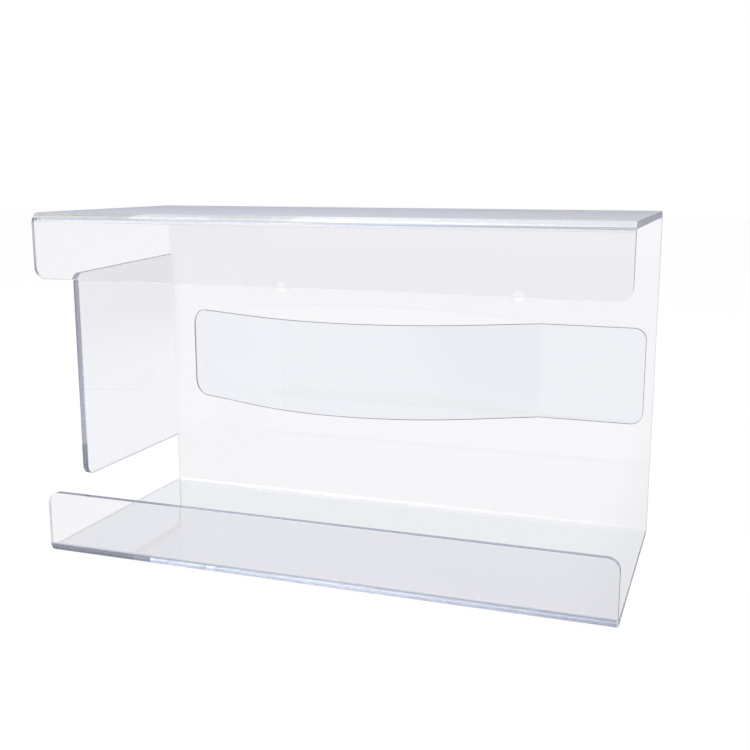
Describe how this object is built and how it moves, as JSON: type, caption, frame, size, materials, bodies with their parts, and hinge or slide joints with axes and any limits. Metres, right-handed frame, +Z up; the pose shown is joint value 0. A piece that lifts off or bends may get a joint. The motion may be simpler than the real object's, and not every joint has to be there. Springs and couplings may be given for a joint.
{
  "type": "disposable glove dispenser",
  "caption": "Clear wall holder for a box of disposable gloves: folded sheet with lipped roof and shelf, one side wing, an open end for loading and a sprung tongue.",
  "frame": {"origin": "middle of the footprint, on the underside of the shelf", "axes": "+X to the right as seen from the front, towards the open end; +Y towards the wall; +Z up"},
  "size_m": [0.25, 0.116, 0.151],
  "materials": {
    "clear_sheet": "clear, polished",
    "clear_strip": "clear, polished"
  },
  "bodies": {
    "root": {"folded_body": "clear_sheet", "spring_tongue": "clear_strip"}
  },
  "joints": []
}
